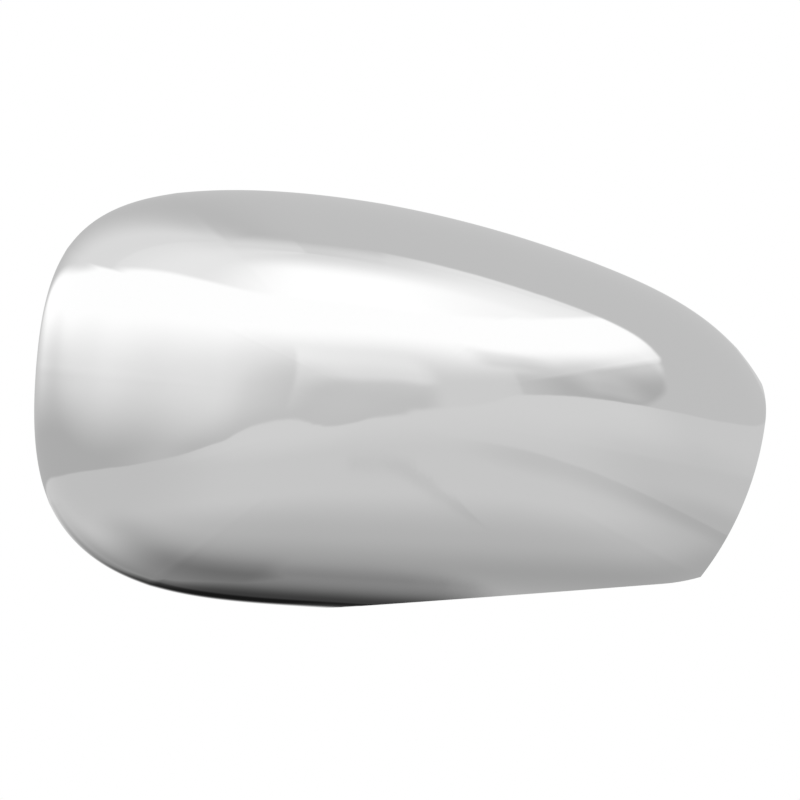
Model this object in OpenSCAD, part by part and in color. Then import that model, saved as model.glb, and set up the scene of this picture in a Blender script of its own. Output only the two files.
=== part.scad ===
// Wing mirror cover: one thin chrome-plated moulding that snaps over the front of a door mirror.
// X runs inboard, Y runs from the front of the cover back to its rim, Z is up.
// The rim lies in the plane Y = 0 and the origin is at its middle.

/* [Cover] */
// Length from the outboard end to the nose
cover_len = 240; // [200:1:280]
// Height of the front
cover_h = 137; // [115:1:160]
// Depth from the rim to the crown of the front
cover_depth = 70; // [55:1:85]
// Fullness of the shoulders, where 2 is an ellipse
shoulder_power = 2.6; // [2.3:0.1:3.2]
// Share of the depth by which the crown leans, low outboard and high inboard
crown_twist = 0.15; // [0:0.01:0.2]
// Facets round the outline
outline_facets = 96; // [72:12:132]
// Facets from the crown to the rim, on the outer skin
outer_facets = 18; // [12:1:22]
// Facets from the crown to the lip, on the inner skin
inner_facets = 13; // [9:1:16]

/* [Wall and lip] */
// Thickness of the moulded wall
wall = 2.4; // [2:0.1:3]
// Thickness of the thin lip that slips over the edge of the housing
lip_wall = 1.3; // [1:0.1:1.6]
// Depth of the lip
lip_depth = 4; // [2.5:0.5:6]

/* [Arm cut] */
// Radius of the cut round the mirror arm, from the nose to the lower corner
arm_cut_r = 110.7; // [100:0.1:120]
// Height of the centre of that cut
arm_cut_z = 7.5; // [0:0.5:12]
// How far the nose stands past half the length
nose_reach = 0.5; // [0:0.5:2]
// Radius of the round at the nose, where the outline runs into the arm cut
nose_round = 30; // [20:1:40]
// Where that round meets the arm cut, in degrees below the centre of the cut
nose_round_end = 8; // [5:1:10]
// Slope of the lower edge beside the mirror foot
foot_cut_angle = 4.3; // [2:0.1:6]
// What that cut takes off the bottom at the middle of the cover
foot_cut_trim = 1.5; // [0.5:0.1:3]
// Where the relief behind the cuts starts on the bottom rim, outboard of the middle
relief_start = 24; // [15:1:40]
// Depth of the relief from the rim plane
relief_depth = 26.5; // [22:0.5:30]
// Run of the relief's curve, from the rim to its full depth
relief_run = 24; // [20:0.5:30]

/* [Snap tongues] */
// Width of a tongue
tongue_w = 12; // [9:0.5:15]
// Thickness of a tongue
tongue_t = 2; // [1.6:0.1:2.4]
// Gap between a tongue and the wall beside it
tongue_gap = 4.5; // [3.5:0.5:6]
// How far the tip of a tongue stays below the rim
tongue_below_rim = 1.5; // [1:0.5:4]
// How far the barb stands out towards the wall
barb = 1.4; // [0.8:0.1:1.8]
// Length of the barb's ramp
barb_ramp = 5; // [3:0.5:7]
// Width of the window in a tongue
window_w = 6; // [4:0.5:7]
// Length of the window in a tongue
window_len = 7; // [4:0.5:9]
// Distance from the barb to the window
window_gap = 1.5; // [1:0.5:3]
// Reach of the two gussets at the foot of a tongue
gusset_reach = 12; // [8:0.5:16]

/* [Locating posts] */
// Distance between the two posts
post_pitch = 104; // [90:1:120]
// Radius of the post
post_r = 4.5; // [4:0.1:5]
// Radius of the peg on top of the post
peg_r = 2.5; // [2:0.1:3]
// Length of the peg with its chamfer
peg_len = 14; // [10:0.5:18]
// Chamfer at the end of the peg
peg_chamfer = 0.6; // [0.3:0.1:0.8]
// How far the end of the peg stays below the rim
peg_below_rim = 6; // [3:0.5:10]
// Reach of the four fins at the foot of a post
fin_reach = 9; // [7:0.5:11]

/* [Shoulder ribs] */
// Thickness of the ribs, fins and gussets
rib_t = 1.2; // [1:0.1:1.6]
// Reach of a rib from the wall
rib_reach = 13; // [9:0.5:16]
// Depth of a rib's inner end from the rim plane
rib_depth = 45; // [38:0.5:52]
// Width of a rib's flat end towards the rim
rib_land = 2.4; // [1.5:0.1:4]
// How far that end stays below the lip
rib_below_lip = 3; // [2:0.5:6]

/* [Hidden] */
CHROME = [0.86, 0.86, 0.86];
$fn = 48;
far = 2 * cover_len;
bottom = -cover_h / 2;
nose_x = cover_len / 2 + nose_reach;

// Control points of the outline for a cover 240 long and 137 high, anticlockwise from the top.
// The lower inboard corner is drawn full, since the arm cut takes it away.
DRAWN_LEN = 240;
DRAWN_H = 137;
drawn_poles = [
    [-5, 66.5], [-80, 71], [-113.5, 53], [-120.5, 11], [-120.5, -38], [-87, -65.5],
    [-24, -68.5], [54, -73.5], [114, -69.5], [134, -31], [115.5, 21], [66, 45.5]
];
poles = [for (p = drawn_poles) [p.x * cover_len / DRAWN_LEN, p.y * cover_h / DRAWN_H]];
crown = [-5, -2];

// Stations on the outline, counted in control points from the top
tongue_stations = [0.85, 3.05, 5.1, 5.75, 10.3, 11.35];
rib_stations = [0.1, 0.45, 1.35, 1.85, 2.4, 3.7, 4.25, 4.75, 5.43, 10.7, 11, 11.75];

function station(k) = k * len(poles) / outline_facets;

// Point of the closed cubic spline at t control points from its start
function spline(t) =
    let (n = len(poles), i = floor(t), u = t - i, v = 1 - u)
    (v * v * v * poles[(i + n - 1) % n] + (3 * u * u * u - 6 * u * u + 4) * poles[i % n]
        + (3 * v * v * v - 6 * v * v + 4) * poles[(i + 1) % n] + u * u * u * poles[(i + 2) % n]) / 6;

// Direction and rate of the spline at t
function spline_rate(t) =
    let (n = len(poles), i = floor(t), u = t - i, v = 1 - u)
    (-v * v * poles[(i + n - 1) % n] + (3 * u * u - 4 * u) * poles[i % n]
        + (4 * v - 3 * v * v) * poles[(i + 1) % n] + u * u * poles[(i + 2) % n]) / 2;

// Unit vector that points from the outline into the cover
function inward(t) = let (rate = spline_rate(t)) [-rate.y, rate.x] / norm(rate);

// Outline of the front, moved inwards by inset
function outline(t, inset) = spline(t) + inset * inward(t);

// Depth of the crown over the point q, for a skin that lies inset below the surface
function crown_depth(q, inset) =
    let (along = (q.x - crown.x) / (cover_len / 2), up = (q.y - crown.y) / (cover_h / 2))
    cover_depth * (1 + crown_twist * along * up) - inset;

// Point of a skin: turn runs from 0 at the crown to 90 at the rim plane, t goes round the outline
function skin_point(turn, t, inset) =
    let (q = crown + pow(sin(turn), 2 / shoulder_power) * (outline(t, inset) - crown))
    [q.x, -crown_depth(q, inset) * cos(turn), q.y];

// One ring of a skin round the whole outline
function skin_ring(turn, inset) =
    [for (k = [0 : outline_facets - 1]) skin_point(turn, station(k), inset)];

// One flat ring at the height y, inset from the outline
function flat_ring(y, inset) =
    [for (k = [0 : outline_facets - 1]) let (q = outline(station(k), inset)) [q.x, y, q.y]];

// Turn at which the inner skin meets the foot of the lip
function lip_foot(t) = acos(lip_depth / crown_depth(outline(t, wall), wall));

// One ring of the inner skin, at a share of the way from the crown to the foot of the lip
function inner_ring(share) =
    [for (k = [0 : outline_facets - 1]) skin_point(share * lip_foot(station(k)), station(k), wall)];

// Height of the lower cut line at x
function foot_line(x) = bottom + foot_cut_trim + tan(foot_cut_angle) * x;

// Closed solid of rings between two end points, with triangles from ring to ring
module ring_solid(start, rings, finish) {
    n = len(rings[0]);
    last = 1 + n * (len(rings) - 1);
    points = concat([start], [for (ring = rings) for (p = ring) p], [finish]);
    faces = concat(
        [for (k = [0 : n - 1]) [0, 1 + (k + 1) % n, 1 + k]],
        [for (first = [1 : n : last - n]) for (k = [0 : n - 1])
            let (a = first + k, b = first + (k + 1) % n)
            each [[a, b, b + n], [a, b + n, a + n]]],
        [for (k = [0 : n - 1]) [last + k, last + (k + 1) % n, last + n]]
    );
    polyhedron(points, faces, convexity = 6);
}

// The moulded wall: outer skin, rim, lip and inner skin
module wall_shell() {
    outer = [for (i = [1 : outer_facets]) skin_ring(90 * i / outer_facets, 0)];
    lip = [flat_ring(0, lip_wall), flat_ring(-lip_depth, lip_wall)];
    inner = [for (i = [inner_facets : -1 : 1]) inner_ring(i / inner_facets)];
    ring_solid(skin_point(0, 0, 0), concat(outer, lip, inner), skin_point(0, 0, wall));
}

// Everything behind the middle of the wall, which trims the feet of the inner features
module inside() {
    skins = [for (i = [1 : inner_facets]) skin_ring(90 * i / inner_facets, wall / 2)];
    ring_solid(skin_point(0, 0, wall / 2), skins, [crown.x, 0, crown.y]);
}

// What the mirror arm and its foot take away at the lower inboard corner, seen from the front
module arm_cut() {
    centre = [nose_x - arm_cut_r, arm_cut_z];
    end = [cos(nose_round_end), -sin(nose_round_end)];
    round_centre = centre + (arm_cut_r - nose_round) * end;
    round_low = centre.y + arm_cut_r * end.y;
    rotate([90, 0, 0]) linear_extrude(far, center = true) {
        difference() {
            translate([centre.x + arm_cut_r / 2, centre.y - far]) square(far);
            translate(centre) circle(arm_cut_r, $fn = 180);
        }
        difference() {
            translate([round_centre.x + nose_round / 2, round_low])
                square([far, 0.7 * nose_round]);
            translate(round_centre) circle(nose_round, $fn = 96);
        }
        polygon([[-far, foot_line(-far)], [far, foot_line(far)], [far, -far], [-far, -far]]);
    }
}

// The relief behind the arm cut: it leaves the rim plane on a quarter ellipse
module arm_relief() {
    heel = [-relief_start, bottom];
    run = [nose_x, 0] - heel;
    curve = [for (a = [0 : 9 : 90]) [relief_run * (1 - cos(a)), -relief_depth * sin(a)]];
    translate([heel.x, 0, heel.y]) rotate([0, 90 - atan2(run.y, run.x), 0])
        linear_extrude(far, center = true)
            polygon(concat([[0, far]], curve, [[far, -relief_depth], [far, far]]));
}

// Moves to the outline at station t and turns X to point into the cover, with Z along the wall
module at_wall(t, inset) {
    q = outline(t, inset);
    v = inward(t);
    translate([q.x, 0, q.y]) rotate([0, -atan2(v.y, v.x), 0]) children();
}

// Snap tongue: a flat spring with a window, two gussets and a barb that faces the wall
module snap_tongue(t) {
    tip = -tongue_below_rim;
    heel = tip - barb_ramp;
    window_top = heel - window_gap;
    gusset_top = window_top - window_len - window_gap;
    at_wall(t, wall + tongue_gap) {
        difference() {
            linear_extrude(tongue_w, center = true)
                polygon([
                    [0, -far], [0, heel], [-barb, heel], [-barb, heel + barb / 2],
                    [tongue_t / 3, tip], [tongue_t, tip], [tongue_t, -far]
                ]);
            translate([tongue_t / 2, window_top - window_len / 2, 0])
                cube([2 * tongue_t, window_len, window_w], center = true);
        }
        for (side = [-1, 1])
            translate([0, 0, side * (tongue_w - rib_t) / 2])
                linear_extrude(rib_t, center = true)
                    polygon([
                        [tongue_t / 2, gusset_top], [tongue_t + gusset_reach, -cover_depth],
                        [tongue_t / 2, -cover_depth]
                    ]);
    }
}

// Shoulder rib: a thin web between the side wall and the front
module shoulder_rib(t) {
    start = -lip_depth - rib_below_lip;
    at_wall(t, wall / 2)
        linear_extrude(rib_t, center = true)
            polygon([
                [0, start], [wall / 2 + rib_land, start], [wall / 2 + rib_reach, -rib_depth],
                [wall / 2 + rib_reach, -far], [0, -far]
            ]);
}

// Locating post: a peg on a stouter post, with four fins at its foot
module locating_post(side) {
    post_top = peg_below_rim + peg_len;
    translate([crown.x + side * post_pitch / 2, 0, crown.y]) {
        rotate([90, 0, 0]) {
            translate([0, 0, peg_below_rim]) cylinder(peg_chamfer, peg_r - peg_chamfer, peg_r);
            translate([0, 0, peg_below_rim + peg_chamfer]) cylinder(peg_len, r = peg_r);
            translate([0, 0, post_top]) cylinder(far, r = post_r);
        }
        for (turn = [0, 90])
            rotate([0, turn, 0])
                linear_extrude(rib_t, center = true)
                    polygon([
                        [-fin_reach, -cover_depth], [0, -post_top - post_r],
                        [fin_reach, -cover_depth]
                    ]);
    }
}

module mirror_cover() {
    color(CHROME) {
        difference() {
            wall_shell();
            arm_cut();
            arm_relief();
        }
        intersection() {
            inside();
            union() {
                for (t = tongue_stations) snap_tongue(t);
                for (t = rib_stations) shoulder_rib(t);
                for (side = [-1, 1]) locating_post(side);
            }
        }
    }
}

mirror_cover();
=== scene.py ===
"""Wing mirror cover in polished chrome: the camera, the studio, and the moulded cover itself."""

import math

import bpy
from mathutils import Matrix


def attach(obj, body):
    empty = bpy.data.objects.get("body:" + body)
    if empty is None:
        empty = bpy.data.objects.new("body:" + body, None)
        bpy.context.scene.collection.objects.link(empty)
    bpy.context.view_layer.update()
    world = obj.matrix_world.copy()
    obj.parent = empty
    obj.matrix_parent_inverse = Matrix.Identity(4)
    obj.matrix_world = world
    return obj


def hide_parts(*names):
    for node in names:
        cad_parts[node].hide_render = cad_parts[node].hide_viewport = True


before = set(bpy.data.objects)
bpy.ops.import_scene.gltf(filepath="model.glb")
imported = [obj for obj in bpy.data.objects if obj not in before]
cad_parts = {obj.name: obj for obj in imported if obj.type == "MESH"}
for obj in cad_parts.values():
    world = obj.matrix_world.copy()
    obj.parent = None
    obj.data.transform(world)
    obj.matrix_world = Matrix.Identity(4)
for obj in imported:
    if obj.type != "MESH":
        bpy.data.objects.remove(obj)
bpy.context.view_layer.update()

# Cover, in metres, as the part's own drawing gives it
COVER_LEN = 0.240
COVER_H = 0.137
COVER_DEPTH = 0.070
SHOULDER_POWER = 2.6
CROWN_TWIST = 0.15
CROWN_X, CROWN_Z = -0.005, -0.002
OUTLINE_POLES = [
    (-5, 66.5), (-80, 71), (-113.5, 53), (-120.5, 11), (-120.5, -38), (-87, -65.5),
    (-24, -68.5), (54, -73.5), (114, -69.5), (134, -31), (115.5, 21), (66, 45.5),
]

# Wall and lip
WALL = 0.0024
LIP_WALL = 0.0013
LIP_DEPTH = 0.004

# Cuts for the mirror arm and its foot
ARM_CUT_R = 0.1083
ARM_CUT_Z = 0.0075
NOSE_X = 0.1205
NOSE_ROUND = 0.030
NOSE_ROUND_END = math.radians(8)
FOOT_CUT_ANGLE = math.radians(4.3)
FOOT_CUT_TRIM = 0.0015
CORNER_START = 0.086
CORNER_ROUND = 0.060
CORNER_TOOL_RISE = 0.015
RELIEF_START = 0.024
RELIEF_DEPTH = 0.0265
RELIEF_RUN = 0.024

# Snap tongues
TONGUE_W = 0.012
TONGUE_T = 0.002
TONGUE_GAP = 0.0045
TONGUE_BELOW_RIM = 0.0015
BARB = 0.0014
BARB_RAMP = 0.005
WINDOW_W = 0.006
WINDOW_LEN = 0.007
WINDOW_GAP = 0.0015
GUSSET_REACH = 0.012
TONGUE_STATIONS = [0.85, 3.05, 5.1, 5.75, 10.3, 11.35]

# Locating posts
POST_PITCH = 0.104
POST_R = 0.0045
PEG_R = 0.0025
PEG_LEN = 0.014
PEG_CHAMFER = 0.0006
PEG_BELOW_RIM = 0.006
FIN_REACH = 0.009

# Shoulder ribs
RIB_T = 0.0012
RIB_REACH = 0.013
RIB_DEPTH = 0.045
RIB_LAND = 0.0024
RIB_BELOW_LIP = 0.003
RIB_STATIONS = [0.1, 0.45, 1.35, 1.85, 2.4, 3.7, 4.25, 4.75, 5.43, 10.7, 11, 11.75]
EDGE_ROUND = 0.0002

# How finely the skin and the rounds are divided
OUTLINE_LEVELS = 5
SKIN_RINGS = 62
CUT_SIDES = 360
RELIEF_SIDES = 180
POST_SIDES = 48
SMOOTH_BELOW = math.radians(12)
SOFTEN_ABOVE = math.radians(40)

# Sizes of the bench
FAR = 2 * COVER_LEN
FOOT = -1.3 * COVER_DEPTH
ONE_POINT = 1e-6
NEAR_RIM = 0.0004
CAGE_REACH = 1.25
PEG_SINK = 0.0001

# Camera
LENS = 1000.0
SENSOR = 36.0
FAR_CLIP = 50
PHOTO_WIDTH = 800
COVER_WIDTH_IN_PHOTO = 732.0
ORIGIN_ROW_IN_PHOTO = 398.3

# Plating
CHROME_TONE = 0.86
INNER_TONE = 0.75
UNEVEN_POLISH_SCALE = 60
POLISHED_WAVES = [(28, 0.00008), (420, 0.000002)]
INNER_WAVES = [(35, 0.0001), (900, 0.000012)]

# Tones of the studio, from 0 to 255 as a screen shows them
SCREEN_WHITE = 255
WALL_LOW = 171
WALL_HIGH = 254
CARD_TONE = 183
CEILING_TONE = 189.5
TABLE_TONE = 198
DARK_TONE = 22

# Light of the room on anything that isn't seen or mirrored
ROOM_LIGHT = 0.8

# Panels of the wall: from the left and upwards, in degrees, and how much lighter
WALL_PANELS = [
    ((-12.5, -11, 2, 5), (3.5, 7, 11, 20), 14),
    ((9, 14, 19, 30), (16, 22, 26, 33), -16),
    ((16, 17.5, 26, 36), (3, 5, 12, 20), -9),
    ((28, 38, 44, 58), (8, 13, 17, 26), 14),
]

# Where the table ends against the wall of the studio: turn from the left, height in degrees
TABLE_EDGE = [
    (-180, 0), (-145, -8.2), (-109, -11.6), (-80, -10.8), (-50, -7.1), (-27, -0.8), (-13, 3),
    (1, -1.8), (16, 3.6), (40, 8.6), (80, 12), (110, 13), (180, 6),
]
TABLE_EDGE_SPAN = 15

# Floor and lamp
FLOOR_RADIUS = 0.85
FLOOR_DROP = 0.2
FLOOR_TONE = 0.9
FLOOR_FADE = (0.35, 0.8)
LAMP_SIZE = 0.9
LAMP_POWER = 6.0
LAMP_PLACE = (-0.2, -0.3, 1.3)
LAMP_TILT = (math.radians(-13), math.radians(-9), 0)


# Small tools of the bench


def alone(piece):
    """Makes this the only selected piece, and the active one."""
    if bpy.context.object and bpy.context.object.mode != "OBJECT":
        bpy.ops.object.mode_set(mode="OBJECT")
    bpy.ops.object.select_all(action="DESELECT")
    piece.select_set(True)
    bpy.context.view_layer.objects.active = piece


def pick(piece, kind, test):
    """In object mode, selects only the elements of one kind that pass the test, then edits."""
    if bpy.context.object.mode != "OBJECT":
        bpy.ops.object.mode_set(mode="OBJECT")
    mesh = piece.data
    for group in (mesh.vertices, mesh.edges, mesh.polygons):
        group.foreach_set("select", [False] * len(group))
    for element in getattr(mesh, kind):
        element.select = bool(test(element))
    bpy.ops.object.mode_set(mode="EDIT")
    mode = {"vertices": "VERT", "edges": "EDGE", "polygons": "FACE"}[kind]
    bpy.ops.mesh.select_mode(type=mode)


def finish_with(piece, kind, **settings):
    """Adds a modifier, sets it and applies it."""
    alone(piece)
    modifier = piece.modifiers.new(kind.title(), kind)
    for name, value in settings.items():
        setattr(modifier, name, value)
    bpy.ops.object.modifier_apply(modifier=modifier.name)


def cut_with(piece, tool, operation="DIFFERENCE"):
    """Cuts, joins or trims a piece with another one, which is used up."""
    finish_with(piece, "BOOLEAN", object=tool, operation=operation, solver="MANIFOLD")
    bpy.data.objects.remove(tool, do_unlink=True)


def outward(piece):
    """Merges doubles and turns all faces outwards."""
    alone(piece)
    bpy.ops.object.mode_set(mode="EDIT")
    bpy.ops.mesh.select_all(action="SELECT")
    bpy.ops.mesh.remove_doubles(threshold=ONE_POINT)
    bpy.ops.mesh.normals_make_consistent(inside=False)
    bpy.ops.object.mode_set(mode="OBJECT")


# Camera and studio

camera_data = bpy.data.cameras.new("studio_camera")
camera_data.lens = LENS
camera_data.sensor_width = SENSOR
camera = bpy.data.objects.new("studio_camera", camera_data)
bpy.context.scene.collection.objects.link(camera)
frame_width = COVER_LEN * PHOTO_WIDTH / COVER_WIDTH_IN_PHOTO
camera_distance = frame_width * LENS / SENSOR
camera.location = (0, -camera_distance, 0)
camera.rotation_euler = (math.pi / 2, 0, 0)
camera_data.shift_y = (ORIGIN_ROW_IN_PHOTO - PHOTO_WIDTH / 2) / PHOTO_WIDTH
camera_data.clip_end = FAR_CLIP
bpy.context.scene.camera = camera
bpy.context.scene.view_settings.view_transform = "Standard"


class Reading:
    """A number that flows through a shader, for plain sums and soft steps."""

    def __init__(self, tree, socket):
        self.tree = tree
        self.socket = socket

    def __add__(self, other):
        return reckon(self.tree, "ADD", self, other)

    def __sub__(self, other):
        return reckon(self.tree, "SUBTRACT", self, other)

    def __rsub__(self, other):
        return reckon(self.tree, "SUBTRACT", other, self)

    def __mul__(self, other):
        return reckon(self.tree, "MULTIPLY", self, other)

    def __truediv__(self, other):
        return reckon(self.tree, "DIVIDE", self, other)

    def __neg__(self):
        return self * -1.0

    __radd__ = __add__
    __rmul__ = __mul__

    def fade(self, start, end, smooth=True):
        """0 at start and 1 at end, whichever is the larger."""
        node = self.tree.nodes.new("ShaderNodeMapRange")
        node.interpolation_type = "SMOOTHSTEP" if smooth else "LINEAR"
        plug(self.tree, self, node.inputs["Value"])
        node.inputs["From Min"].default_value = start
        node.inputs["From Max"].default_value = end
        return Reading(self.tree, node.outputs["Result"])

    def within(self, start, full, still, end):
        """1 between full and still, and 0 outside start and end."""
        return self.fade(start, full) * self.fade(end, still)

    def over(self, below, share):
        """This reading laid over another one, by a share from 0 to 1."""
        return below + (self - below) * share

    def line(self, points, low, high):
        """A line drawn through the given points, from 0 to 1 across and from low to high up."""
        node = self.tree.nodes.new("ShaderNodeFloatCurve")
        curve = node.mapping.curves[0]
        for across, up in points[1:-1]:
            curve.points.new(across, (up - low) / (high - low))
        for point, (across, up) in ((curve.points[0], points[0]), (curve.points[-1], points[-1])):
            point.location = (across, (up - low) / (high - low))
        node.mapping.update()
        plug(self.tree, self, node.inputs["Value"])
        return Reading(self.tree, node.outputs[0]) * (high - low) + low


def reckon(tree, operation, first, second=None):
    """One sum in a shader, on readings or plain values."""
    node = tree.nodes.new("ShaderNodeMath")
    node.operation = operation
    plug(tree, first, node.inputs[0])
    if second is not None:
        plug(tree, second, node.inputs[1])
    return Reading(tree, node.outputs[0])


def larger(first, second):
    """The larger of two readings."""
    return reckon(first.tree, "MAXIMUM", first, second)


def plug(tree, value, socket):
    """Links a reading or sets a plain value."""
    if isinstance(value, Reading):
        tree.links.new(value.socket, socket)
    else:
        socket.default_value = value


def along(tree, vector, direction):
    """How far a vector reaches along a direction."""
    node = tree.nodes.new("ShaderNodeVectorMath")
    node.operation = "DOT_PRODUCT"
    tree.links.new(vector, node.inputs[0])
    node.inputs[1].default_value = direction
    return Reading(tree, node.outputs["Value"])


def studio_tone(tree, look):
    """Tone of the studio in a direction, from 0 to 255 as a screen shows it."""
    right = along(tree, look, (1, 0, 0))
    front = along(tree, look, (0, -1, 0))
    up = along(tree, look, (0, 0, 1))
    down = -up
    turn = reckon(tree, "ARCTAN2", right, front) * math.degrees(1)
    height = reckon(tree, "ARCSINE", up) * math.degrees(1)

    # Wall of the studio: grey over the table, white higher up
    start = (
        turn.fade(-85, -50) * 4 + turn.fade(-30, 90, smooth=False) * 28
        + turn.fade(-85, -120) * 5 - 7
    )
    reach = 27 - turn.fade(-85, -120) * 12 - turn.fade(-120, -150) * 6
    low = turn.within(-85, -8, 12, 42) * 32 + turn.fade(66, 74) * 17 + WALL_LOW
    wall = low + (WALL_HIGH - low) * ((height - start) / reach).fade(0, 1)

    # Panels of the wall, and its shade over the table
    for turns, heights, lighter in WALL_PANELS:
        wall = wall + turn.within(*turns) * height.within(*heights) * lighter
    edge = [((degrees + 180) / 360, up_degrees) for degrees, up_degrees in TABLE_EDGE]
    above = height - ((turn + 180) * (1 / 360)).line(edge, -TABLE_EDGE_SPAN, TABLE_EDGE_SPAN)
    wall = wall - turn.within(-55, -32, 2, 5) * above.fade(10, 0) * 13

    # Pale card above, darker towards the back
    around = reckon(tree, "ABSOLUTE", turn)
    card = (
        larger(around.fade(173, 122) * 34, front.fade(-0.28, -0.05) * 38)
        + around.fade(110, 60) * 9
        + turn.fade(-50, -5) * front.fade(0, 0.3) * 26
        + right.fade(0, 0.3) * front.fade(0.3, 0) * 12
        - height.fade(72, 88) * turn.fade(-60, 0) * 8 - height.fade(68, 86) * 6
        - right.fade(0.1, 0.35) * front.fade(0, 0.2) * 10 + CARD_TONE
    )
    card_edge = along(tree, look, (0, -0.416, -0.909))
    card_edge = card_edge - right.fade(-0.7, -0.1) * 0.15 + right.fade(0.1, 0.65) * 0.55
    wall = card.over(wall, card_edge.fade(-0.545, -0.615))

    # Grey ceiling, inboard and behind
    ceiling_edge = along(tree, look, (-0.094, 0.636, -0.766)) - up.fade(0.5, 0.3) * 0.03
    ceiling = ceiling_edge.fade(-0.648, -0.613) * right.fade(-0.1, 0.05)
    wall = wall + (CEILING_TONE - wall) * ceiling

    # Table, with painted shade of the cover's own shadow, darker straight below and low behind it
    table = TABLE_TONE - down.fade(0.6, 1.06) * 24 - right.fade(-0.3, -0.9) * 8
    table = table + down.fade(0.25, 0) * turn.within(-60, -25, 40, 70) * 8
    table = table - right.fade(0.35, 0.75) * down.fade(-0.1, 0.2) * 8
    table = table - right.fade(0.5, 0.9) * down.within(0.3, 0.5, 0.7, 0.95) * 12
    table = table - front.fade(0.25, -0.3) * down.fade(0.5, 0.8) * 18

    # Two soft darker streaks across the table, one towards the front and one inboard
    front_streak = (right - down * 0.067).within(-0.008, 0.004, 0.007, 0.012)
    front_streak = front_streak * down.within(0.2, 0.4, 0.8, 0.95) * front.fade(0.1, 0.4)
    inboard_streak = (down - right * 0.2 - right * right * 0.4).within(0.105, 0.13, 0.16, 0.34)
    inboard_streak = inboard_streak * right.fade(0.04, 0.3)
    table = table - front_streak * 7 - inboard_streak * 8

    # Painted shade low behind and below the cover, standing for its own shadow on the table,
    # drawn as a dark patch with a softer rim
    depth = 1 - down.fade(0.36, 0.44) * 0.2 - down.fade(0.45, 0.85) * 0.55
    depth = (depth - down.fade(0.85, 1.02) * 0.25) * down.fade(0.07, 0.27)
    painted_shadow = (right.fade(-0.2, -0.05) * 0.55 + right.fade(-0.5, -0.08) * 0.45) * depth
    shade = right.fade(-0.65, -0.1) * down.within(0.1, 0.5, 0.8, 1.05)
    shade = shade * right.fade(0, -0.08) * 0.42
    painted_shadow = larger(painted_shadow, shade) * front.fade(0, -0.4) * right.fade(0.005, -0.025)
    # The painted shadow pulls the table towards the dark tone
    table = table + (DARK_TONE - table) * painted_shadow

    return wall.over(table, above.fade(-0.4, 0.4))


def studio_world():
    """White background for the camera, and the studio for what the chrome mirrors."""
    world = bpy.data.worlds.new("studio")
    bpy.context.scene.world = world
    world.use_nodes = True
    tree = world.node_tree
    tree.nodes.clear()
    look = tree.nodes.new("ShaderNodeTexCoord").outputs["Generated"]
    tone = studio_tone(tree, look) * (1 / SCREEN_WHITE)
    light = reckon(tree, "POWER", (tone + 0.055) * (1 / 1.055), 2.4) * (1 / CHROME_TONE)

    path = tree.nodes.new("ShaderNodeLightPath").outputs
    camera_ray = Reading(tree, path["Is Camera Ray"])
    glossy_ray = Reading(tree, path["Is Glossy Ray"])
    clear_ray = Reading(tree, path["Is Transmission Ray"])
    backdrop = light + (1.0 - light) * camera_ray
    seen = larger(larger(camera_ray, glossy_ray), clear_ray)
    background = tree.nodes.new("ShaderNodeBackground")
    plug(tree, backdrop.over(plain(tree, ROOM_LIGHT), seen), background.inputs["Color"])
    output = tree.nodes.new("ShaderNodeOutputWorld")
    tree.links.new(background.outputs[0], output.inputs["Surface"])


def plain(tree, value):
    """A plain number, as a reading."""
    node = tree.nodes.new("ShaderNodeValue")
    node.outputs[0].default_value = value
    return Reading(tree, node.outputs[0])


def studio_floor():
    """Pale floor below the cover, which fades into the white background, clear from below."""
    bpy.ops.mesh.primitive_circle_add(
        vertices=96, radius=FLOOR_RADIUS, fill_type="NGON", location=(0, 0, -FLOOR_DROP)
    )
    floor = bpy.context.object
    floor.name = "studio_floor"
    material = bpy.data.materials.new("pale_floor")
    material.use_nodes = True
    material.node_tree.nodes.clear()
    tree = material.node_tree
    place = tree.nodes.new("ShaderNodeTexCoord").outputs["Object"]
    reach = tree.nodes.new("ShaderNodeVectorMath")
    reach.operation = "LENGTH"
    tree.links.new(place, reach.inputs[0])
    paint = tree.nodes.new("ShaderNodeBsdfDiffuse")
    paint.inputs["Color"].default_value = (FLOOR_TONE, FLOOR_TONE, FLOOR_TONE, 1)
    clear = tree.nodes.new("ShaderNodeBsdfTransparent")
    mix = tree.nodes.new("ShaderNodeMixShader")
    distance = Reading(tree, reach.outputs["Value"]).fade(*FLOOR_FADE)
    underside = Reading(tree, tree.nodes.new("ShaderNodeNewGeometry").outputs["Backfacing"])
    plug(tree, larger(distance, underside), mix.inputs[0])
    tree.links.new(paint.outputs[0], mix.inputs[1])
    tree.links.new(clear.outputs[0], mix.inputs[2])
    output = tree.nodes.new("ShaderNodeOutputMaterial")
    tree.links.new(mix.outputs[0], output.inputs["Surface"])
    floor.data.materials.append(material)
    floor.visible_glossy = False


def studio_lamp():
    """Broad soft lamp above, for the shadow on the floor."""
    lamp = bpy.data.lights.new("soft_lamp", "AREA")
    lamp.size = LAMP_SIZE
    lamp.energy = LAMP_POWER
    holder = bpy.data.objects.new("soft_lamp", lamp)
    bpy.context.scene.collection.objects.link(holder)
    holder.location = LAMP_PLACE
    holder.rotation_euler = LAMP_TILT
    holder.visible_glossy = False


studio_world()
studio_floor()
studio_lamp()


# The moulded cover


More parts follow.
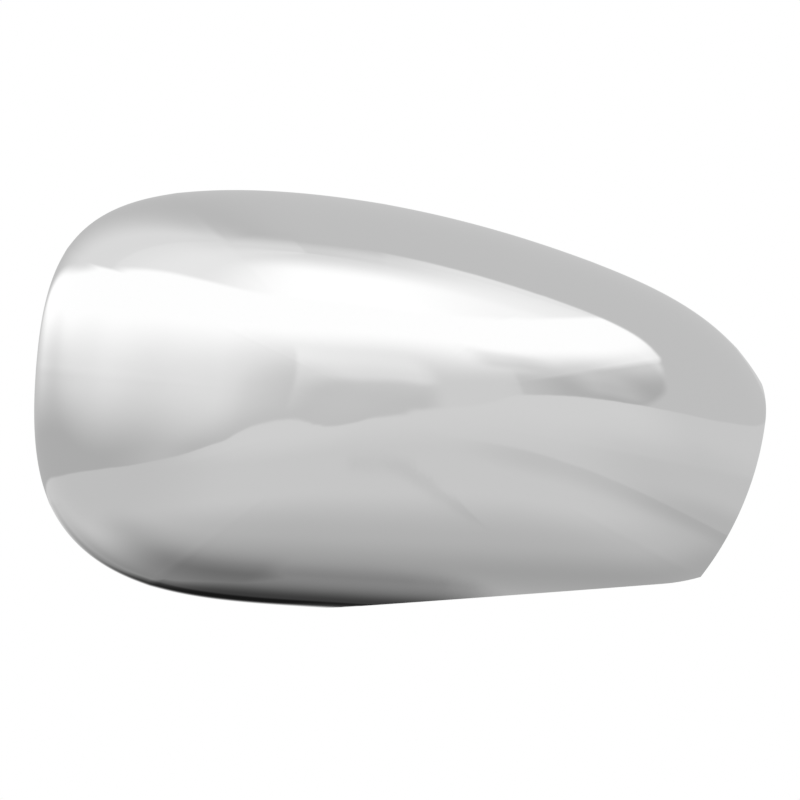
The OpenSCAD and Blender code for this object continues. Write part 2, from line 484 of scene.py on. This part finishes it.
def outline_ring(name, inset=0.0):
    """The rim's outline: a twelve-sided ring pulled onto its poles and smoothed."""
    bpy.ops.object.select_all(action="DESELECT")
    bpy.ops.mesh.primitive_circle_add(vertices=len(OUTLINE_POLES), radius=0.1, fill_type="NGON")
    ring = bpy.context.object
    ring.name = name
    for corner, (x, z) in zip(ring.data.vertices, OUTLINE_POLES):
        corner.co = (x * 0.001, 0, z * 0.001)
    finish_with(
        ring, "SUBSURF", levels=OUTLINE_LEVELS, render_levels=OUTLINE_LEVELS,
        use_limit_surface=True, boundary_smooth="ALL",
    )
    # Only the edge of the smoothed face is kept
    alone(ring)
    bpy.ops.object.mode_set(mode="EDIT")
    bpy.ops.mesh.select_mode(type="EDGE")
    bpy.ops.mesh.select_all(action="SELECT")
    bpy.ops.mesh.region_to_loop()
    bpy.ops.mesh.select_all(action="INVERT")
    bpy.ops.mesh.delete(type="EDGE")
    bpy.ops.mesh.select_mode(type="VERT")
    bpy.ops.mesh.select_all(action="SELECT")
    bpy.ops.object.mode_set(mode="OBJECT")
    return ring


def draw_dome(name):
    """The front: the outline is drawn forward in rings that close in on the crown."""
    dome = outline_ring(name)
    bpy.ops.object.mode_set(mode="EDIT")
    bpy.ops.mesh.select_all(action="SELECT")
    crown = (CROWN_X, 0, CROWN_Z)
    last_size, last_y = 1.0, 0.0
    for ring in range(1, SKIN_RINGS):
        turn = math.pi / 2 * (1 - ring / SKIN_RINGS)
        size = math.sin(turn) ** (2 / SHOULDER_POWER)
        y = -COVER_DEPTH * math.cos(turn)
        bpy.ops.mesh.extrude_edges_move(
            TRANSFORM_OT_translate={"value": (0, y - last_y, 0)}
        )
        step = size / last_size
        bpy.ops.transform.resize(value=(step, 1, step), center_override=crown)
        last_size, last_y = size, y
    bpy.ops.mesh.extrude_edges_move(
        TRANSFORM_OT_translate={"value": (0, -COVER_DEPTH - last_y, 0)}
    )
    bpy.ops.transform.resize(value=(0, 1, 0), center_override=crown)
    bpy.ops.mesh.merge(type="CENTER")
    bpy.ops.object.mode_set(mode="OBJECT")
    outward(dome)
    return dome


def lean_crown(dome):
    """Leans the crown, low outboard and high inboard, by pulling the corners of a cage."""
    bpy.ops.object.select_all(action="DESELECT")
    bpy.ops.object.add(type="LATTICE", location=(CROWN_X, -COVER_DEPTH / 2, CROWN_Z))
    cage = bpy.context.object
    cage.scale = (COVER_LEN * CAGE_REACH, COVER_DEPTH, COVER_H * CAGE_REACH)
    cage.data.points_u = cage.data.points_v = cage.data.points_w = 2
    for axis in "uvw":
        setattr(cage.data, "interpolation_type_" + axis, "KEY_LINEAR")
    for corner in cage.data.points:
        across, forward, up = corner.co
        if forward < 0:
            pull = CROWN_TWIST * CAGE_REACH**2 * math.copysign(1, across * up)
            corner.co_deform = (across, forward - pull, up)
    finish_with(dome, "LATTICE", object=cage)
    bpy.data.objects.remove(cage, do_unlink=True)


def flatten_rim(piece):
    """Brings the edge of the skin back into the rim plane."""
    alone(piece)
    pick(piece, "vertices", lambda v: abs(v.co.y) < NEAR_RIM)
    bpy.ops.transform.resize(value=(1, 0, 1), center_override=(0, 0, 0))
    bpy.ops.object.mode_set(mode="OBJECT")


def thicken(dome):
    """Gives the skin its wall, square at the rim."""
    finish_with(
        dome, "SOLIDIFY", thickness=WALL, offset=-1.0, use_even_offset=True,
        use_quality_normals=True, material_offset=1, material_offset_rim=1
    )
    flatten_rim(dome)


def inner_space(dome, name):
    """The solid behind the middle of the wall, which trims the feet of what stands inside."""
    space = dome.copy()
    space.data = dome.data.copy()
    space.name = name
    bpy.context.scene.collection.objects.link(space)
    alone(space)
    bpy.ops.object.mode_set(mode="EDIT")
    bpy.ops.mesh.select_mode(type="VERT")
    bpy.ops.mesh.select_all(action="SELECT")
    bpy.ops.transform.shrink_fatten(value=-WALL / 2)
    bpy.ops.object.mode_set(mode="OBJECT")
    flatten_rim(space)
    pick(space, "vertices", lambda v: abs(v.co.y) < ONE_POINT)
    bpy.ops.mesh.edge_face_add()
    bpy.ops.object.mode_set(mode="OBJECT")
    outward(space)
    return space


def lip_tool():
    """What is cut from the inner side of the wall at the rim, to leave the thin lip."""
    tool = outline_ring("lip_tool")
    bpy.ops.object.mode_set(mode="EDIT")
    bpy.ops.mesh.select_all(action="SELECT")
    bpy.ops.mesh.edge_face_add()
    bpy.ops.mesh.select_mode(type="FACE")
    bpy.ops.mesh.inset(thickness=LIP_WALL)
    bpy.ops.mesh.select_all(action="INVERT")
    bpy.ops.mesh.delete(type="FACE")
    bpy.ops.mesh.select_all(action="SELECT")
    bpy.ops.transform.translate(value=(0, -LIP_DEPTH, 0))
    bpy.ops.mesh.extrude_region_move(
        TRANSFORM_OT_translate={"value": (0, 2 * LIP_DEPTH, 0)}
    )
    bpy.ops.object.mode_set(mode="OBJECT")
    outward(tool)
    return tool


def block(name, low, high):
    """A block between two corners."""
    bpy.ops.object.select_all(action="DESELECT")
    middle = [(a + b) / 2 for a, b in zip(low, high)]
    bpy.ops.mesh.primitive_cube_add(size=1, location=middle)
    piece = bpy.context.object
    piece.name = name
    piece.scale = [b - a for a, b in zip(low, high)]
    bpy.ops.object.transform_apply(location=True, rotation=True, scale=True)
    return piece


def round_bar(name, middle, radius, length, sides):
    """A bar that lies along Y."""
    bpy.ops.object.select_all(action="DESELECT")
    bpy.ops.mesh.primitive_cylinder_add(
        vertices=sides, radius=radius, depth=length, location=middle,
        rotation=(math.pi / 2, 0, 0),
    )
    piece = bpy.context.object
    piece.name = name
    bpy.ops.object.transform_apply(location=True, rotation=True, scale=True)
    return piece


def outside_disc(name, low, high, centre, radius):
    """A block with a round hole through it along Y, to cut what stands outside the round."""
    piece = block(name, low, high)
    middle = (centre[0], 0, centre[1])
    cut_with(piece, round_bar(name + "_disc", middle, radius, 3 * COVER_LEN, CUT_SIDES))
    return piece


def swing(piece, angle, move):
    """Turns a piece about Y through the origin, then moves it, in its mesh."""
    alone(piece)
    piece.rotation_euler = (0, angle, 0)
    piece.location = move
    bpy.ops.object.transform_apply(location=True, rotation=True, scale=True)


def arm_tool():
    """What the mirror arm and its foot take away, with the relief behind them.

    Each cut reaches a little less far than the one before, so that no two end faces meet.
    """
    centre_x = NOSE_X - ARM_CUT_R
    tool = outside_disc(
        "arm_tool", (centre_x + ARM_CUT_R / 2, -COVER_LEN, -FAR), (FAR, COVER_LEN, ARM_CUT_Z),
        (centre_x, ARM_CUT_Z), ARM_CUT_R
    )

    # Round at the nose, inside the disc and tangent to it
    reach = ARM_CUT_R - NOSE_ROUND
    round_x = centre_x + reach * math.cos(NOSE_ROUND_END)
    round_z = ARM_CUT_Z - reach * math.sin(NOSE_ROUND_END)
    low = ARM_CUT_Z - ARM_CUT_R * math.sin(NOSE_ROUND_END)
    end = 0.95
    nose = outside_disc(
        "nose_tool", (round_x + NOSE_ROUND / 2, -COVER_LEN * end, low),
        (FAR * end, COVER_LEN * end, low + 0.7 * NOSE_ROUND), (round_x, round_z), NOSE_ROUND
    )
    cut_with(tool, nose, "UNION")

    # Lower edge
    end = 0.9
    edge_z = -COVER_H / 2 + FOOT_CUT_TRIM
    foot = block("foot_tool", (-FAR, -COVER_LEN * end, -FAR), (FAR, COVER_LEN * end, 0))
    swing(foot, -FOOT_CUT_ANGLE, (0, 0, edge_z))
    cut_with(tool, foot, "UNION")

    # Wide round at the corner, where the lower edge curls up, tangent to the foot's cut
    low = edge_z + CORNER_START * math.tan(FOOT_CUT_ANGLE)
    round_x = CORNER_START - CORNER_ROUND * math.sin(FOOT_CUT_ANGLE)
    round_z = low + CORNER_ROUND * math.cos(FOOT_CUT_ANGLE)
    end = 0.85
    corner = outside_disc(
        "corner_tool", (CORNER_START, -COVER_LEN * end, -FAR * end),
        (FAR * end, COVER_LEN * end, low + CORNER_TOOL_RISE), (round_x, round_z), CORNER_ROUND
    )
    cut_with(tool, corner, "UNION")

    # Across the relief, X runs away from the middle of the cover and Z along the cut
    end = 0.8
    heel = (-RELIEF_START, 0, -COVER_H / 2)
    lean = math.pi / 2 - math.atan2(COVER_H / 2, NOSE_X + RELIEF_START)
    bpy.ops.object.select_all(action="DESELECT")
    bpy.ops.mesh.primitive_cylinder_add(
        vertices=RELIEF_SIDES, radius=1, depth=FAR * end, location=(0, 0, 0)
    )
    curve = bpy.context.object
    curve.name = "relief_curve"
    curve.scale = (RELIEF_RUN, RELIEF_DEPTH, 1)
    bpy.ops.object.transform_apply(location=False, rotation=False, scale=True)
    bpy.ops.object.mode_set(mode="EDIT")
    bpy.ops.mesh.select_all(action="SELECT")
    bpy.ops.transform.translate(value=(RELIEF_RUN, 0, 0))
    bpy.ops.object.mode_set(mode="OBJECT")
    half = 0.45 * FAR
    flat = block(
        "relief_flat", (RELIEF_RUN, -RELIEF_DEPTH, -half), (FAR, COVER_LEN * end, half)
    )
    for part in (curve, flat):
        swing(part, lean, heel)
        cut_with(tool, part, "UNION")
    return tool


def cloud(tree, place, scale):
    """Soft uneven pattern from 0 to 1, with so many patches to the metre."""
    noise = tree.nodes.new("ShaderNodeTexNoise")
    tree.links.new(place, noise.inputs["Vector"])
    noise.inputs["Scale"].default_value = scale
    noise.inputs["Detail"].default_value = 2.0
    return Reading(tree, noise.outputs["Fac"])


def chrome(name, tone, roughness, unevenness, waves):
    """Plated metal, with faint waves in the skin of the moulding and an uneven polish."""
    material = bpy.data.materials.new(name)
    material.use_nodes = True
    tree = material.node_tree
    principled = tree.nodes["Principled BSDF"]
    principled.inputs["Base Color"].default_value = (tone, tone, tone, 1)
    principled.inputs["Metallic"].default_value = 1.0
    place = tree.nodes.new("ShaderNodeTexCoord").outputs["Object"]
    polish = (cloud(tree, place, UNEVEN_POLISH_SCALE) - 0.5) * unevenness + roughness
    plug(tree, polish, principled.inputs["Roughness"])
    normal = principled.inputs["Normal"]
    for scale, height in waves:
        wave = tree.nodes.new("ShaderNodeBump")
        wave.inputs["Distance"].default_value = height
        plug(tree, cloud(tree, place, scale), wave.inputs["Height"])
        tree.links.new(wave.outputs["Normal"], normal)
        normal = wave.inputs["Normal"]
    return material


polished_chrome = chrome("polished_chrome", CHROME_TONE, 0.035, 0.03, POLISHED_WAVES)
inner_chrome = chrome("inner_chrome", INNER_TONE, 0.28, 0.25, INNER_WAVES)


def finish_materials(piece):
    """Gives a piece the two finishes, outer first."""
    piece.data.materials.append(polished_chrome)
    piece.data.materials.append(inner_chrome)


def finish_inside(piece):
    """Gives every face the inner finish."""
    finish_materials(piece)
    for face in piece.data.polygons:
        face.material_index = 1


def outline_at(station):
    """Point of the outline at a station, counted in poles, and its direction there."""
    n = len(OUTLINE_POLES)
    i = math.floor(station)
    u = station - i
    v = 1 - u
    poles = [OUTLINE_POLES[(i + k) % n] for k in (-1, 0, 1, 2)]
    place = (v**3 / 6, (3 * u**3 - 6 * u**2 + 4) / 6, (3 * v**3 - 6 * v**2 + 4) / 6, u**3 / 6)
    rate = (-v * v / 2, (3 * u * u - 4 * u) / 2, (4 * v - 3 * v * v) / 2, u * u / 2)
    point = [0.001 * sum(w * pole[axis] for w, pole in zip(place, poles)) for axis in (0, 1)]
    run = [sum(w * pole[axis] for w, pole in zip(rate, poles)) for axis in (0, 1)]
    length = math.hypot(*run)
    return point, (-run[1] / length, run[0] / length)


def set_at_wall(piece, station, inset):
    """Stands a piece beside the wall, with its X pointing into the cover."""
    (x, z), (in_x, in_z) = outline_at(station)
    swing(piece, -math.atan2(in_z, in_x), (x + inset * in_x, 0, z + inset * in_z))


def plate(name, profile, thickness):
    """A flat plate with this profile in X and Y, and its thickness across Z."""
    bpy.ops.object.select_all(action="DESELECT")
    bpy.ops.mesh.primitive_circle_add(vertices=len(profile), radius=0.01, fill_type="NGON")
    piece = bpy.context.object
    piece.name = name
    for corner, (x, y) in zip(piece.data.vertices, profile):
        corner.co = (x, y, -thickness / 2)
    bpy.ops.object.mode_set(mode="EDIT")
    bpy.ops.mesh.select_all(action="SELECT")
    bpy.ops.mesh.extrude_region_move(TRANSFORM_OT_translate={"value": (0, 0, thickness)})
    bpy.ops.object.mode_set(mode="OBJECT")
    outward(piece)
    return piece


def slide(piece, move):
    """Moves a piece in its mesh."""
    swing(piece, 0, move)


def snap_tongue():
    """A flat spring with a window, two gussets and a barb that faces the wall."""
    tip = -TONGUE_BELOW_RIM
    heel = tip - BARB_RAMP
    window_top = heel - WINDOW_GAP
    gusset_top = window_top - WINDOW_LEN - WINDOW_GAP
    tongue = plate(
        "snap_tongue",
        [
            (0, FOOT), (0, heel), (-BARB, heel), (-BARB, heel + BARB / 2),
            (TONGUE_T / 3, tip), (TONGUE_T, tip), (TONGUE_T, FOOT),
        ],
        TONGUE_W,
    )
    window = block(
        "tongue_window",
        (-TONGUE_T, window_top - WINDOW_LEN, -WINDOW_W / 2),
        (2 * TONGUE_T, window_top, WINDOW_W / 2),
    )
    cut_with(tongue, window)
    for side in (-1, 1):
        gusset = plate(
            "tongue_gusset",
            [
                (TONGUE_T / 2, gusset_top), (TONGUE_T + GUSSET_REACH, -COVER_DEPTH),
                (TONGUE_T / 2, -COVER_DEPTH),
            ],
            RIB_T,
        )
        slide(gusset, (0, 0, side * (TONGUE_W - RIB_T) / 2))
        cut_with(tongue, gusset, "UNION")
    soften(tongue)
    return tongue


def shoulder_rib():
    """A thin web between the side wall and the front."""
    start = -LIP_DEPTH - RIB_BELOW_LIP
    end = WALL / 2 + RIB_REACH
    rib = plate(
        "shoulder_rib",
        [
            (0, start), (WALL / 2 + RIB_LAND, start), (end, -RIB_DEPTH), (end, FOOT), (0, FOOT),
        ],
        RIB_T,
    )
    soften(rib)
    return rib


def locating_post():
    """A peg on a stouter post, with four fins at its foot."""
    post_top = -PEG_BELOW_RIM - PEG_LEN
    post = round_bar(
        "locating_post", (0, (post_top - COVER_DEPTH) / 2, 0), POST_R,
        COVER_DEPTH + post_top, POST_SIDES
    )
    soften(post)
    peg = round_bar("peg", (0, -PEG_BELOW_RIM - PEG_LEN / 2, 0), PEG_R, PEG_LEN, POST_SIDES)
    pick(peg, "vertices", lambda v: v.co.y > -PEG_BELOW_RIM - PEG_CHAMFER)
    bpy.ops.mesh.bevel(offset=PEG_CHAMFER, segments=1, affect="EDGES")
    bpy.ops.object.mode_set(mode="OBJECT")
    slide(peg, (0, -PEG_SINK, 0))
    cut_with(post, peg, "UNION")
    for turn in (0, math.pi / 2):
        fin = plate(
            "post_fin",
            [(-FIN_REACH, -COVER_DEPTH), (FIN_REACH, -COVER_DEPTH), (0, post_top - POST_R)],
            RIB_T,
        )
        swing(fin, turn, (0, 0, 0))
        cut_with(post, fin, "UNION")
    return post


def soften(piece):
    """Takes the sharpness off the moulded edges."""
    finish_with(
        piece, "BEVEL", width=EDGE_ROUND, segments=2, limit_method="ANGLE",
        angle_limit=SOFTEN_ABOVE,
    )


def inner_features(space):
    """Tongues, ribs and posts: each modelled once, copied to its places and trimmed."""
    master = {"tongue": snap_tongue(), "rib": shoulder_rib(), "post": locating_post()}
    places = [("tongue", station, WALL + TONGUE_GAP) for station in TONGUE_STATIONS]
    places += [("rib", station, WALL / 2) for station in RIB_STATIONS]
    made = []
    for kind, station, inset in places:
        piece = copy_of(master[kind])
        set_at_wall(piece, station, inset)
        made.append(piece)
    for side in (-1, 1):
        piece = copy_of(master["post"])
        slide(piece, (CROWN_X + side * POST_PITCH / 2, 0, CROWN_Z))
        made.append(piece)
    for piece in master.values():
        bpy.data.objects.remove(piece, do_unlink=True)
    for piece in made:
        finish_inside(piece)
    alone(made[0])
    for piece in made:
        piece.select_set(True)
    bpy.ops.object.join()
    features = bpy.context.object
    features.name = "inner_features"
    cut_with(features, space, "INTERSECT")
    return features


def copy_of(piece):
    """A copy with its own mesh."""
    copy = piece.copy()
    copy.data = piece.data.copy()
    bpy.context.scene.collection.objects.link(copy)
    return copy


dome = draw_dome("mirror_cover_shell")
lean_crown(dome)
finish_materials(dome)
features = inner_features(inner_space(dome, "inner_space"))
thicken(dome)
tool = arm_tool()
cut_with(tool, lip_tool(), "UNION")
finish_inside(tool)
cut_with(dome, tool)
cut_with(dome, features, "UNION")
alone(dome)
bpy.ops.object.shade_smooth_by_angle(angle=SMOOTH_BELOW)
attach(dome, "root")
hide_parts("mirror_cover")
